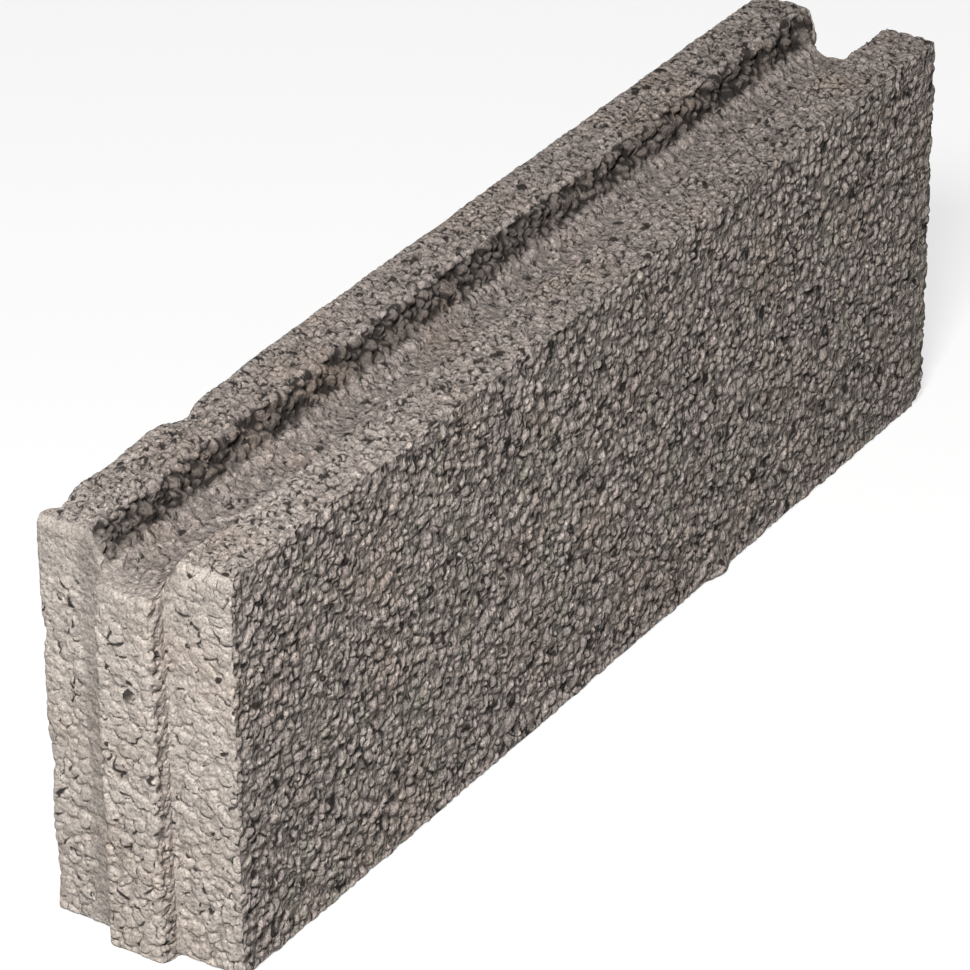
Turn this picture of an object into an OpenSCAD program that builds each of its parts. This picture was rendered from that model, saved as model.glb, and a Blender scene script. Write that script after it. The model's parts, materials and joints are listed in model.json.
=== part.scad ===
// Lightweight aggregate concrete block for partition walls.
// One moulded piece: a long narrow body with a round trough along its top,
// a tongue on the near end and the groove that takes it in the far end.
// X runs along the block, Y across it and Z up. The origin is the middle of the bottom bed.

/* [Body] */
// Length of the body between its two end faces, without the tongue
body_l = 590; // [400:5:700]
// Width of the body across its two long faces
body_w = 100; // [80:1:160]
// Height of the body from the bottom bed to the top ribs
body_h = 200; // [120:1:300]
// Radius of the four upright corners
corner_r = 3; // [1:0.5:8]
// Radius of the edges round the top
arris_r = 2; // [0.5:0.5:6]

/* [Trough] */
// Width of the trough between its two rims, before they are rounded
trough_w = 42; // [36:1:48]
// Depth of the trough below the top ribs
trough_d = 18; // [8:0.5:22]
// Radius of the rims where the trough meets the top ribs
rim_r = 3; // [1:0.5:6]

/* [Tongue and groove] */
// Width of the tongue across the block
tongue_w = 30; // [20:1:36]
// Distance that the tongue stands out of the near end
tongue_d = 10; // [6:0.5:16]
// Radius of the tongue's upright outer edges
tongue_r = 3.5; // [1:0.5:6]
// Radius of the tongue's top outer edge
tongue_top_r = 5; // [1:0.5:6]
// Height of the tongue's top above the floor of the trough
tongue_rise = 2; // [1:0.5:6]
// Room on each side of the tongue in the groove
side_clearance = 1.5; // [0.5:0.5:4]
// Room in front of the tongue in the groove
nose_clearance = 1; // [0.5:0.5:5]
// Radius of the groove's two upright lips
lip_r = 2; // [0.5:0.5:5]

/* [Broken corner] */
// Length broken off along the bottom front edge at the far end
chip_l = 13; // [4:1:40]
// Length broken off across the bottom of the far end
chip_w = 12; // [4:1:40]
// Length broken off up the far front corner
chip_h = 11; // [4:1:40]

/* [Crumbled back top edge] */
// Distance from the near end to the middle of the first crumbled stretch
crumble_1_at = 15; // [10:1:60]
// Length of the first stretch along the edge
crumble_1_l = 20; // [8:1:30]
// Depth of the first stretch, straight in from the edge
crumble_1_d = 4; // [1:0.5:6]
// Distance from the near end to the middle of the second crumbled stretch
crumble_2_at = 101; // [80:1:300]
// Length of the second stretch along the edge
crumble_2_l = 22; // [8:1:30]
// Depth of the second stretch, straight in from the edge
crumble_2_d = 4.5; // [1:0.5:6]

/* [Hidden] */
$fn = 96;

// Cuts run this far past the faces that they open
overrun = 8;
// The tongue runs this far back into the body
tongue_root = 6;
// Share of each broken length by which the break runs past the faces
chip_overrun_share = 0.2;
concrete_colour = [0.56, 0.52, 0.49];

// The trough is an arc: its radius, and the height of its centre
trough_r = (trough_w * trough_w / 4 + trough_d * trough_d) / (2 * trough_d);
trough_z = body_h - trough_d + trough_r;
// Each rim's arc touches the top rib and the trough
rim_z = body_h - rim_r;
rim_y = sqrt(pow(trough_r + rim_r, 2) - pow(trough_z - rim_z, 2));
tongue_h = body_h - trough_d + tongue_rise;
groove_w = tongue_w + 2 * side_clearance;
groove_d = tongue_d + nose_clearance;

// Waste outside a round edge of radius r, for a corner at the origin with the solid in +X and +Y
module edge_waste(r) {
    difference() {
        translate([-overrun, -overrun]) square(r + overrun);
        translate([r, r]) circle(r);
    }
}

// Plan of a tongue that points along -X from the origin, with a tail behind it
module tongue_plan(width, depth, tail) {
    difference() {
        translate([-depth, -width / 2]) square([depth + tail, width]);
        for (side = [0, 1])
            mirror([0, side])
                translate([-depth, -width / 2]) edge_waste(tongue_r);
    }
}

// Plan of the groove with its round lips, for an end face at X = 0
module groove_plan() {
    tongue_plan(groove_w, groove_d, overrun);
    for (side = [0, 1])
        mirror([0, side])
            translate([0, groove_w / 2])
                mirror([1, 0]) edge_waste(lip_r);
}

// Plan of the body with its round corners and the groove in its far end
module body_plan() {
    difference() {
        square([body_l, body_w], center = true);
        for (end = [0, 1], side = [0, 1])
            mirror([end, 0])
                mirror([0, side])
                    translate([-body_l / 2, -body_w / 2]) edge_waste(corner_r);
        translate([body_l / 2, 0]) groove_plan();
    }
}

// Waste along both top edges of a section that is span wide
module top_edge_waste(span) {
    for (side = [0, 1])
        mirror([side, 0])
            translate([-span / 2, body_h])
                mirror([0, 1]) edge_waste(arris_r);
}

// One half of the trough's rim: the waste between the trough's centre and the rim's arc
module rim_waste() {
    difference() {
        polygon([
            [0, trough_z],
            [rim_y, rim_z],
            [rim_y, body_h + trough_r],
            [0, body_h + trough_r]
        ]);
        translate([rim_y, rim_z]) circle(rim_r);
    }
}

// Section of the trough: its arc and its two round rims
module trough_section() {
    translate([0, trough_z]) circle(trough_r);
    for (side = [0, 1])
        mirror([side, 0]) rim_waste();
}

// Carries a section in Y and Z along the whole block, past the tongue and the far end
module along_x() {
    translate([-body_l / 2 - tongue_d - overrun, 0, 0])
        rotate([90, 0, 90])
            linear_extrude(body_l + tongue_d + 2 * overrun) children();
}

// Carries a section in X and Z across the block, past both long faces
module along_y() {
    rotate([90, 0, 0])
        linear_extrude(body_w + 2 * overrun, center = true) children();
}

module body() {
    difference() {
        linear_extrude(body_h) body_plan();
        along_x() top_edge_waste(body_w);
        along_y() top_edge_waste(body_l);
    }
}

module tongue() {
    translate([-body_l / 2, 0, 0])
        difference() {
            linear_extrude(tongue_h) tongue_plan(tongue_w, tongue_d, tongue_root);
            along_y()
                translate([-tongue_d, tongue_h])
                    mirror([0, 1]) edge_waste(tongue_top_r);
        }
}

// The broken corner: a flat break across the far bottom front corner
module broken_corner() {
    start_share = -chip_overrun_share;
    reach_share = 1 + 3 * chip_overrun_share;
    translate([body_l / 2, -body_w / 2, 0])
        mirror([1, 0, 0])
            translate([start_share * chip_l, start_share * chip_w, start_share * chip_h])
                polyhedron(
                    points = [
                        [0, 0, 0],
                        [reach_share * chip_l, 0, 0],
                        [0, reach_share * chip_w, 0],
                        [0, 0, reach_share * chip_h]
                    ],
                    faces = [[0, 1, 2], [0, 3, 1], [0, 2, 3], [1, 3, 2]]
                );
}

// A crumbled stretch of the back top edge: a ball that dips into the edge along the bisector
module crumbled_edge(at, length, depth) {
    ball_r = (length * length / 4 + depth * depth) / (2 * depth);
    away = (ball_r - depth) / sqrt(2);
    translate([at - body_l / 2, body_w / 2 + away, body_h + away]) sphere(ball_r);
}

module block() {
    color(concrete_colour)
        difference() {
            union() {
                body();
                tongue();
            }
            along_x() trough_section();
            broken_corner();
            crumbled_edge(crumble_1_at, crumble_1_l, crumble_1_d);
            crumbled_edge(crumble_2_at, crumble_2_l, crumble_2_d);
        }
}

block();
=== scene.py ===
"""Looks of a lightweight aggregate concrete block, laid out as an add-on and run as a script.

The block's skin is one surface of fused clay pebbles. It is worked out on the moulded form: from
each point of a face, the skin lies where the face's normal meets the highest of the pebbles that
are packed under that face. The long block is made as slices, each closed by flat cuts that touch
the cuts of its neighbours, so that no piece has too many triangles.
"""

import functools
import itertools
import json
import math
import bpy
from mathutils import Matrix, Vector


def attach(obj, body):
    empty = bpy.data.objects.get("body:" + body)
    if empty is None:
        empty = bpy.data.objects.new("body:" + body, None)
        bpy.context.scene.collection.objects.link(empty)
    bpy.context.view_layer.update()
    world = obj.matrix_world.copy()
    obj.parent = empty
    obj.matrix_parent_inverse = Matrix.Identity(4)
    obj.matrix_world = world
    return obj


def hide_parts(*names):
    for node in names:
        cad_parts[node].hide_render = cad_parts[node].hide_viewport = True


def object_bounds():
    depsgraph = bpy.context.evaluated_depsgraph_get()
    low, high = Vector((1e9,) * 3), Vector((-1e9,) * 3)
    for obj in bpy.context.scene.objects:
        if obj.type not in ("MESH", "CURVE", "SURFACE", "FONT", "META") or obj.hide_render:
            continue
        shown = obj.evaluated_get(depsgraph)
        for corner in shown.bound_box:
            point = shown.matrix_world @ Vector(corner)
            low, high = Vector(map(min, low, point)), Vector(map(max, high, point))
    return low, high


bl_info = {
    "name": "Aggregate Concrete Block",
    "version": (1, 0, 0),
    "blender": (4, 5, 0),
    "location": "3D View > Sidebar > Concrete Block",
    "description": "Builds the pebbled skin of a tongue-and-groove concrete block",
    "category": "Add Mesh",
}

from collections import namedtuple

import bpy
import numpy as np
from mathutils import Matrix, Vector

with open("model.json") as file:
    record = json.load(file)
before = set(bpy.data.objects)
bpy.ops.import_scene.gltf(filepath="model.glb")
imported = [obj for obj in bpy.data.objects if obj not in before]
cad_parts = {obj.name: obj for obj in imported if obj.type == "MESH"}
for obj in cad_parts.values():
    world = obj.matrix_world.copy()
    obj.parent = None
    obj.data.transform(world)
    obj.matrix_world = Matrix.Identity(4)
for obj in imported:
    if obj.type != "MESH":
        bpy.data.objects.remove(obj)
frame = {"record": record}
CAD_LOW, CAD_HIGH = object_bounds()
MOUNTS = {m["name"]: m["pos_m"] for m in frame["record"]["mounts"]}

# Places of the moulded faces, from the frame
NEAR_END = MOUNTS["tongue_end_face"][0]
FAR_END = MOUNTS["groove_end_face"][0]
TONGUE_TIP = MOUNTS["tongue"][0]
GROOVE_FLOOR = MOUNTS["groove"][0]
HALF_WIDTH = CAD_HIGH.y
TOP = CAD_HIGH.z

BODY = "root"
NODE = "block"
SEED = 20

# Spacing of the skin's points along the block and round its section
LONG_STEP = 0.00080
FRONT_STEP = 0.00074
TOP_STEP = 0.00080
BACK_STEP = 0.00250
BED_STEP = 0.00400
NEAR_STEP = 0.00060
FAR_STEP = 0.00130
# The end pieces reach this far behind their faces, in this many steps
END_THICKNESS = 0.009
END_STEPS = 12
SLICES = 5


def linear(srgb):
    """Linear values of an sRGB colour given in steps from 0 to 255."""
    share = np.asarray(srgb, float) / 255.0
    low = share / 12.92
    high = ((share + 0.055) / 1.055) ** 2.4
    return tuple(np.where(share <= 0.04045, low, high))


def length_property(name, description, default):
    """A length in metres that shows in the sidebar."""
    return bpy.props.FloatProperty(
        name=name, description=description, default=default, min=0.0, unit="LENGTH", precision=4
    )


def colour_property(name, description, default):
    """A colour that shows in the sidebar, written as sRGB and kept linear."""
    return bpy.props.FloatVectorProperty(
        name=name, description=description, default=linear(default), size=3,
        min=0.0, max=1.0, subtype="COLOR"
    )


class BlockShape(bpy.types.PropertyGroup):
    """Sizes of the moulded form."""
    trough_width: length_property("Trough width", "Width of the trough between its rims", 0.042)
    trough_depth: length_property("Trough depth", "Depth of the trough below the ribs", 0.018)
    rim_radius: length_property("Rim radius", "Radius of the trough's rims", 0.003)
    edge_radius: length_property("Edge radius", "Radius of the outer edges", 0.0022)
    tongue_width: length_property("Tongue width", "Width of the tongue", 0.030)
    tongue_radius: length_property("Tongue radius", "Radius of the tongue's outer edges", 0.0035)
    tongue_rise: length_property("Tongue rise", "Height of its top above the trough", 0.002)
    groove_room: length_property("Groove room", "Room beside the tongue in the groove", 0.0015)
    lip_radius: length_property("Lip radius", "Radius of the groove's lips", 0.002)
    root_radius: length_property("Root radius", "Radius of the tongue's roots", 0.0008)
    chip_length: length_property("Break length", "Break along the bottom front edge", 0.013)
    chip_width: length_property("Break width", "Break across the far end", 0.012)
    chip_height: length_property("Break height", "Break up the far corner", 0.011)


class PebbleSizes(bpy.types.PropertyGroup):
    """Spacing of the clay pebbles under each kind of face."""
    wall: length_property("Long faces", "Spacing of pebbles along the long faces", 0.0056)
    wall_tall: length_property("Long faces, upright", "Spacing of pebbles up them", 0.0062)
    end: length_property("Ends", "Spacing of pebbles on the ends", 0.0062)
    end_deep: length_property("Ends, inwards", "Spacing of pebbles into the ends", 0.0050)
    rib: length_property("Ribs", "Spacing of pebbles on the top ribs", 0.0040)
    trough: length_property("Trough", "Spacing of pebbles in the trough", 0.0064)
    floor_deep: length_property("Trough floor, inwards", "Spacing of pebbles under it", 0.00455)
    grit: length_property("Grit", "Spacing of the grit between the pebbles", 0.0032)


class ConcreteColours(bpy.types.PropertyGroup):
    """Colours of the concrete, and the colours of its painted shade."""
    taupe: colour_property("Taupe", "Pebbles of the long faces", (151, 141, 135))
    pale: colour_property("Pale", "Cement skin of the ends", (170, 161, 153))
    grit: colour_property("Grit", "Grit of the top ribs", (137, 128, 122))
    # Painted shade: the trough is coloured darker where shade falls in it
    trough_shade: colour_property("Dusk", "Pebbles of the trough", (96, 88, 83))
    # Painted shade: the near-black of crevices, cracks and pores
    crevice_shade: colour_property("Dark", "Deep crevices", (38, 34, 32))
    warm: colour_property("Warm", "Clay-coloured stain", (150, 130, 112))
    green: colour_property("Green", "Weathered grey-green stain", (134, 134, 118))


class StageLook(bpy.types.PropertyGroup):
    """Floor, light and camera."""
    floor: colour_property("Floor", "Colour of the floor", (250, 250, 249))
    key_power: bpy.props.FloatProperty(
        name="Key", description="Power of the soft lamp", default=82.0, unit="POWER"
    )
    fill: bpy.props.FloatProperty(
        name="Fill", description="Strength of the even light all round", default=0.11
    )
    lens: bpy.props.FloatProperty(
        name="Lens", description="Focal length", default=200.6, unit="CAMERA"
    )


def shape():
    """The block's sizes."""
    return bpy.context.scene.block_shape


def colours():
    """The concrete's colours."""
    return bpy.context.scene.block_colours


def drawn(salt):
    """A random source of its own for each kind of grain."""
    return np.random.default_rng([SEED, salt])


def eased(value, low, high):
    """Rises from 0 at low to 1 at high along a smooth step."""
    share = np.clip((value - low) / (high - low), 0.0, 1.0)
    return share * share * (3.0 - 2.0 * share)


# The moulded form

# Length of the slope from the tongue's top up to the trough
TONGUE_SLOPE = 0.0030
# Directions shorter than this count as this long
LEAST_LENGTH = 1e-6


class Path:
    """An open curve in a plane with its unit normals, read by the length along it."""

    def __init__(self, points, normals):
        steps = np.linalg.norm(np.diff(points, axis=0), axis=1)
        self.length_at = np.concatenate([[0.0], np.cumsum(steps)])
        self.points = points
        self.normals = normals

    def at(self, share):
        """Points and unit normals at shares of the whole length."""
        along = np.asarray(share) * self.length_at[-1]
        point = np.stack([np.interp(along, self.length_at, column) for column in self.points.T], -1)
        normal = np.stack([np.interp(along, self.length_at, column) for column in self.normals.T], -1)
        return point, normal / np.linalg.norm(normal, axis=-1, keepdims=True)


def rounded_line(corners, radii, arc_steps=12):
    """Open line through the corners with every inner corner replaced by an arc that touches both
    of its sides. The arc's centre lies on the corner's bisector. Normals point to the left."""
    corners = np.asarray(corners, float)
    before = corners[1:-1] - corners[:-2]
    after = corners[2:] - corners[1:-1]
    before /= np.linalg.norm(before, axis=1, keepdims=True)
    after /= np.linalg.norm(after, axis=1, keepdims=True)
    left_before = np.stack([-before[:, 1], before[:, 0]], 1)
    left_after = np.stack([-after[:, 1], after[:, 0]], 1)
    turn = np.sign(before[:, 0] * after[:, 1] - before[:, 1] * after[:, 0])
    swing = (np.asarray(radii) * turn)[:, None]
    spread = 1.0 + (left_before * left_after).sum(1, keepdims=True)
    centre = corners[1:-1] + swing * (left_before + left_after) / spread
    share = np.linspace(0.0, 1.0, arc_steps)[None, :, None]
    normal = left_before[:, None] * (1.0 - share) + left_after[:, None] * share
    normal /= np.linalg.norm(normal, axis=2, keepdims=True)
    points = centre[:, None] - swing[:, None] * normal
    points = np.vstack([corners[:1], points.reshape(-1, 2), corners[-1:]])
    normals = np.vstack([left_before[:1], normal.reshape(-1, 2), left_after[-1:]])
    return Path(points, normals)


def tongue_line():
    """Plan of the near end from the front corner to the back one, round the tongue."""
    s = shape()
    half = 0.5 * s.tongue_width
    corners = [
        (NEAR_END, -HALF_WIDTH), (NEAR_END, -half), (TONGUE_TIP, -half),
        (TONGUE_TIP, half), (NEAR_END, half), (NEAR_END, HALF_WIDTH),
    ]
    return rounded_line(corners, [s.root_radius, s.tongue_radius, s.tongue_radius, s.root_radius])


def groove_line():
    """Plan of the far end from the front corner to the back one, through the groove."""
    s = shape()
    half = 0.5 * s.tongue_width + s.groove_room
    corners = [
        (FAR_END, -HALF_WIDTH), (FAR_END, -half), (GROOVE_FLOOR, -half),
        (GROOVE_FLOOR, half), (FAR_END, half), (FAR_END, HALF_WIDTH),
    ]
    return rounded_line(corners, [s.lip_radius, s.tongue_radius, s.tongue_radius, s.lip_radius])


def trough_numbers():
    """Radius and centre height of the trough's arc, and the place of its rims' arcs."""
    s = shape()
    radius = (0.25 * s.trough_width ** 2 + s.trough_depth ** 2) / (2.0 * s.trough_depth)
    centre = TOP - s.trough_depth + radius
    rim_z = TOP - s.rim_radius
    rim_y = math.sqrt((radius + s.rim_radius) ** 2 - (centre - rim_z) ** 2)
    return radius, centre, rim_y, rim_z


def top_line(steps=60):
    """Top of the section, from the front edge over the rib, round the rim, through the trough's
    arc and so on to the back edge. Normals point up and out."""
    radius, centre, rim_y, rim_z = trough_numbers()
    rim_radius = shape().rim_radius
    lean = math.atan2(centre - rim_z, rim_y)
    rim = np.linspace(0.5 * math.pi, lean, steps)
    rim_normals = np.stack([np.cos(rim), np.sin(rim)], 1)
    rim_points = np.array([-rim_y, rim_z]) + rim_radius * rim_normals
    arc = np.linspace(lean, 0.5 * math.pi, steps)
    arc_normals = np.stack([np.cos(arc), np.sin(arc)], 1)
    arc_points = np.array([0.0, centre]) - radius * arc_normals
    half = np.vstack([[[-HALF_WIDTH, TOP]], rim_points, arc_points[1:]])
    half_normals = np.vstack([[[0.0, 1.0]], rim_normals, arc_normals[1:]])
    mirror = np.array([-1.0, 1.0])
    points = np.vstack([half, half[-2::-1] * mirror])
    normals = np.vstack([half_normals, half_normals[-2::-1] * mirror])
    return Path(points, normals)


def top_at(x, y):
    """Height of the top over a place in plan, and its normal: the section's top, and on the tongue
    no higher than the tongue's own top, with a short slope where the two meet."""
    s = shape()
    line = top_line()
    height = np.interp(y, line.points[:, 0], line.points[:, 1])
    across = np.interp(y, line.points[:, 0], line.normals[:, 0])
    tongue = np.minimum(height, TOP - s.trough_depth + s.tongue_rise)
    tongue = np.where(np.abs(y) < 0.5 * s.tongue_width + s.root_radius, tongue, height)
    on_body = eased(x, NEAR_END - TONGUE_SLOPE, NEAR_END)
    across = np.where(tongue < height, across * on_body, across)
    normal = np.stack([np.zeros_like(across), across, np.sqrt(1.0 - across ** 2)], -1)
    return tongue + (height - tongue) * on_body, normal


def depth_inside(point):
    """Distance from a point to the nearest moulded face, less than 0 outside the block."""
    s = shape()
    x, y, z = point[..., 0], point[..., 1], point[..., 2]
    tongue = 0.5 * s.tongue_width
    near = np.where(np.abs(y) < tongue, TONGUE_TIP, NEAR_END)
    far = np.where(np.abs(y) < tongue + s.groove_room, GROOVE_FLOOR, FAR_END)
    top, _ = top_at(x, y)
    depth = np.minimum(HALF_WIDTH - np.abs(y), np.minimum(z, top - z))
    return np.minimum(depth, np.minimum(x - near, far - x))


def rounded(point, radius, more_faces=()):
    """Rounds the edges of a form that is given by sharp-edged points, and finds its normals.
    Each face weighs 1 on itself and 0 at the radius away from it. The normals, weighted so, add up
    to a direction d, and the point moves by radius times d times (1 / length of d - 1)."""
    x, y, z = point[..., 0], point[..., 1], point[..., 2]
    top, top_normal = top_at(x, y)
    faces = [
        (y + HALF_WIDTH, np.array([0.0, -1.0, 0.0])),
        (HALF_WIDTH - y, np.array([0.0, 1.0, 0.0])),
        (z, np.array([0.0, 0.0, -1.0])),
        (top - z, top_normal),
    ]
    direction = np.zeros_like(point)
    for distance, normal in (*faces, *more_faces):
        direction += np.clip(1.0 - distance / radius, 0.0, 1.0)[..., None] * normal
    size = np.linalg.norm(direction, axis=-1, keepdims=True)
    size = np.maximum(size, LEAST_LENGTH)
    return point + radius * direction * (1.0 / size - 1.0), direction / size


def broken(point, normal):
    """Flattens what lies outside the broken corner onto the plane of the break."""
    s = shape()
    out = np.array([1.0 / s.chip_length, -1.0 / s.chip_width, -1.0 / s.chip_height])
    out /= np.linalg.norm(out)
    on_break = np.array([FAR_END, -HALF_WIDTH + s.chip_width, 0.0])
    past = np.maximum((point - on_break) @ out, 0.0)[..., None]
    return point - past * out, np.where(past > 0.0, out, normal)


# Dents and crumbs of the worn edges: centre, radius, and the push at the middle, in metres
DENTS = (
    ((-0.280, 0.050, 0.200), 0.0090, (0.0, -0.0026, -0.0028)),
    ((-0.247, 0.050, 0.200), 0.0160, (0.0, -0.0008, -0.0012)),
    ((-0.194, 0.050, 0.200), 0.0100, (0.0, -0.0030, -0.0032)),
    ((-0.165, 0.050, 0.200), 0.0160, (0.0, -0.0006, -0.0008)),
    ((-0.295, 0.050, 0.020), 0.0200, (0.0008, -0.0014, 0.0)),
    ((-0.295, 0.050, 0.075), 0.0160, (0.0008, -0.0016, 0.0)),
    ((-0.295, 0.050, 0.142), 0.0060, (0.0006, -0.0014, 0.0)),
    ((0.0965, -0.050, 0.002), 0.0070, (0.0, -0.0034, 0.0)),
    ((-0.100, -0.050, 0.200), 0.0060, (0.0, 0.0006, -0.0008)),
    ((0.205, -0.050, 0.200), 0.0060, (0.0, 0.0008, -0.0010)),
)
# Rims rubbed round at the near end: height of the rounding, how far it reaches behind a face, where
# in front of that face it begins and is whole, and the push at its top
RUB_HEIGHT = 0.006
RUB_REACH = 0.010
RUB_BEGINS = 0.0015
RUB_WHOLE = 0.0005
RUB_PUSH = (0.0020, 0.0, -0.0010)


def worn(point):
    """Pushes points near each dent by its push, fading as a bell curve of the distance, and rubs
    the top rims of the near end and of the tongue round."""
    s = shape()
    moved = point.copy()
    for centre, radius, push in DENTS:
        away = ((point - np.array(centre)) ** 2).sum(-1) / radius ** 2
        moved += np.exp(-away)[..., None] * np.array(push)
    x, y, z = point[..., 0], point[..., 1], point[..., 2]
    tongue_top = TOP - s.trough_depth + s.tongue_rise
    body_top, _ = top_at(np.full_like(x, FAR_END), y)
    for face, top in ((NEAR_END, body_top), (TONGUE_TIP, tongue_top)):
        rim = eased(z - top, -RUB_HEIGHT, 0.0) * (1.0 - eased(x, face, face + RUB_REACH))
        rim = rim * eased(x, face - RUB_BEGINS, face - RUB_WHOLE)
        moved += rim[..., None] * np.array(RUB_PUSH)
    return moved


# Pebbles

# Cells that each lattice has round the block
LATTICE_PAD = 4
# Least depth of a pebble's centre under a face, and a depth that leaves none out
LEAST_DEPTH = 0.0006
ANY_DEPTH = -1.0
# Voids whose tops lie deeper than this stay closed, and none goes below the deepest height
OPEN_DEPTH = 0.0006
DEEPEST = -0.0035
# Further than any height, and the softness of the creases along the cement and the voids
NOTHING = 1.0
CREASE = 0.00010
# Tones of the pebbles from 0 to 1: the middle one, and the power of the spread about it
MIDDLE_TONE = 0.5
TONE_POWER = 2.2
# Where two pebbles meet: difference of heights over which the joint fades, the factor that draws its
# kind from their tones, the draws to each side over which it changes from cracked to fused, how far
# a cracked joint dips, and how far a fused one is filled
JOINT_WIDTH = 0.0008
JOINT_MIX = 7.13
JOINT_CHANGE = 0.1
CRACK_DEPTH = 0.0010
FUSED_HEIGHT = 0.0003
# Where three meet: the draws over which a pore opens, its depth, and the difference of heights over
# which it fades on most faces
PORE_DRAW = (0.42, 0.56)
PORE_DEPTH = 0.0010
PORE_WIDTH = 0.0042
ANYWHERE = (0.5, 0.5, 0.5)
# Spacing of the grit as shares of the pebbles' own spacing
END_GRIT_SHARE = 0.5
RIB_GRIT_SHARE = 0.6

# Pebbles of one kind on a lattice: their spacing, least and most radius as shares of it, drift from
# the lattice along each axis, salt, share left out, how much deeper they sit, how far their lower
# edges lean out, stretch along Z, power of the outline (2 is round and more is square), power of
# the profile (more is flat on top), bulge, and least depth of their centres under a face
Pebbles = namedtuple(
    "Pebbles", "step radius drift salt missing sink lean stretch outline power bulge least_depth",
    defaults=(0.1, 0.0, 0.0, 1.0, 2.3, 2.5, 0.55, LEAST_DEPTH)
)
# What lies under one kind of face: pebbles, finer grit between them, voids, level and softness at
# which the mould presses the crowns flat, depth of the cement in between, share of the joints that
# are cracked, and differences of heights over which a crack's line of painted shade and a pore fade
Ground = namedtuple(
    "Ground", "pebbles grit voids press softness paste cracks line pore", defaults=(PORE_WIDTH,)
)


def voids(step, radius, missing, salt):
    """Small round hollows spread anywhere."""
    return Pebbles(
        (step,) * 3, radius, ANYWHERE, salt, missing, outline=2.0, least_depth=ANY_DEPTH
    )


def grounds():
    """What lies under each kind of face."""
    p = bpy.context.scene.block_pebbles
    wall = Pebbles(
        (p.wall, p.wall, p.wall_tall), radius=(0.45, 0.65), drift=(0.55, 0.06, 0.55), salt=1,
        missing=0.06, sink=0.0005, lean=0.04, stretch=p.wall_tall / p.wall, outline=2.5, bulge=0.65
    )
    wall_grit = Pebbles(
        (p.grit,) * 3, radius=(0.44, 0.64), drift=(0.55, 0.20, 0.55), salt=21,
        missing=0.45, sink=0.0004, outline=2.4, bulge=0.8
    )
    end = Pebbles(
        (p.end_deep, p.end, p.end), radius=(0.50, 0.66), drift=(0.05, 0.55, 0.55), salt=33,
        missing=0.0, sink=0.0002, power=3.0, bulge=0.60
    )
    end_grit = Pebbles(
        (END_GRIT_SHARE * p.end_deep, p.grit, p.grit), radius=(0.40, 0.60), drift=(0.10, 0.55, 0.55),
        salt=22, missing=0.5, sink=0.0003, bulge=0.8
    )
    jamb = Pebbles(
        (p.end_deep, p.end_deep, p.end), radius=(0.48, 0.66), drift=(0.42, 0.05, 0.42), salt=5,
        sink=0.0003, power=2.4
    )
    rib = Pebbles(
        (p.rib,) * 3, radius=(0.44, 0.64), drift=(0.55, 0.55, 0.06), salt=3,
        missing=0.12, sink=0.0002, power=2.8, bulge=0.65
    )
    rib_grit = Pebbles(
        (RIB_GRIT_SHARE * p.rib,) * 3, radius=(0.42, 0.62), drift=(0.55, 0.55, 0.10), salt=23,
        missing=0.5, sink=0.0003, bulge=0.8
    )
    trough = Pebbles(
        (p.trough,) * 3, radius=(0.46, 0.70), drift=(0.45,) * 3, salt=4,
        missing=0.05, sink=0.0003, power=2.2, bulge=0.95, least_depth=0.0018
    )
    trough_grit = Pebbles(
        (p.grit,) * 3, radius=(0.42, 0.62), drift=(0.45,) * 3, salt=24,
        missing=0.35, sink=0.0001, bulge=0.9
    )
    floor = rib._replace(step=(p.rib, p.rib, p.floor_deep), salt=6)
    wall_voids = voids(0.0100, radius=(0.07, 0.16), missing=0.5, salt=11)
    end_voids = voids(0.0042, radius=(0.12, 0.23), missing=0.5, salt=12)
    rib_voids = voids(0.0038, radius=(0.15, 0.34), missing=0.25, salt=13)
    floor_voids = voids(0.0042, radius=(0.12, 0.26), missing=0.4, salt=14)
    return {
        "wall": Ground(
            wall, wall_grit, wall_voids,
            press=0.0006, softness=0.00020, paste=0.0014, cracks=0.45, line=0.0013
        ),
        "end": Ground(
            end, end_grit, end_voids,
            press=0.0002, softness=0.00010, paste=0.0015, cracks=0.34, line=0.0012, pore=0.0024
        ),
        "jamb": Ground(
            jamb, end_grit, end_voids,
            press=0.0003, softness=0.00010, paste=0.0016, cracks=0.30, line=0.0014, pore=0.0030
        ),
        "rib": Ground(
            rib, rib_grit, rib_voids,
            press=0.0002, softness=0.00008, paste=0.0016, cracks=0.45, line=0.0015
        ),
        "trough": Ground(
            trough, trough_grit, rib_voids,
            press=0.0026, softness=0.00040, paste=0.0030, cracks=0.80, line=0.0040
        ),
        "floor": Ground(
            floor, rib_grit, floor_voids,
            press=0.0003, softness=0.00010, paste=0.0013, cracks=0.30, line=0.0013
        ),
    }


@functools.lru_cache(maxsize=None)
def packed(kind):
    """Pebbles of one kind: their lattice's step and corner, and their centres, radii and tones. The
    lattice starts at the near end, the front face and the bed, and its steps divide the block
    evenly. Each pebble drifts from its cell's middle. One that is left out has no radius."""
    rng = drawn(kind.salt)
    low = np.array([NEAR_END, -HALF_WIDTH, 0.0])
    extent = np.array([FAR_END, HALF_WIDTH, TOP]) - low
    count = np.round(extent / np.array(kind.step)).astype(int)
    step = extent / count
    size = count + 2 * LATTICE_PAD
    cell = np.moveaxis(np.indices(size), 0, -1) - LATTICE_PAD + 0.5
    centre = low + step * (cell + np.array(kind.drift) * rng.uniform(-1.0, 1.0, cell.shape))
    radius = step.mean() * rng.uniform(*kind.radius, size)
    gone = rng.uniform(0.0, 1.0, size) < kind.missing
    radius[gone | (depth_inside(centre) < kind.least_depth)] = 0.0
    tone = rng.beta(TONE_POWER, TONE_POWER, size)
    return step, low - LATTICE_PAD * step, centre, radius, tone


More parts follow.
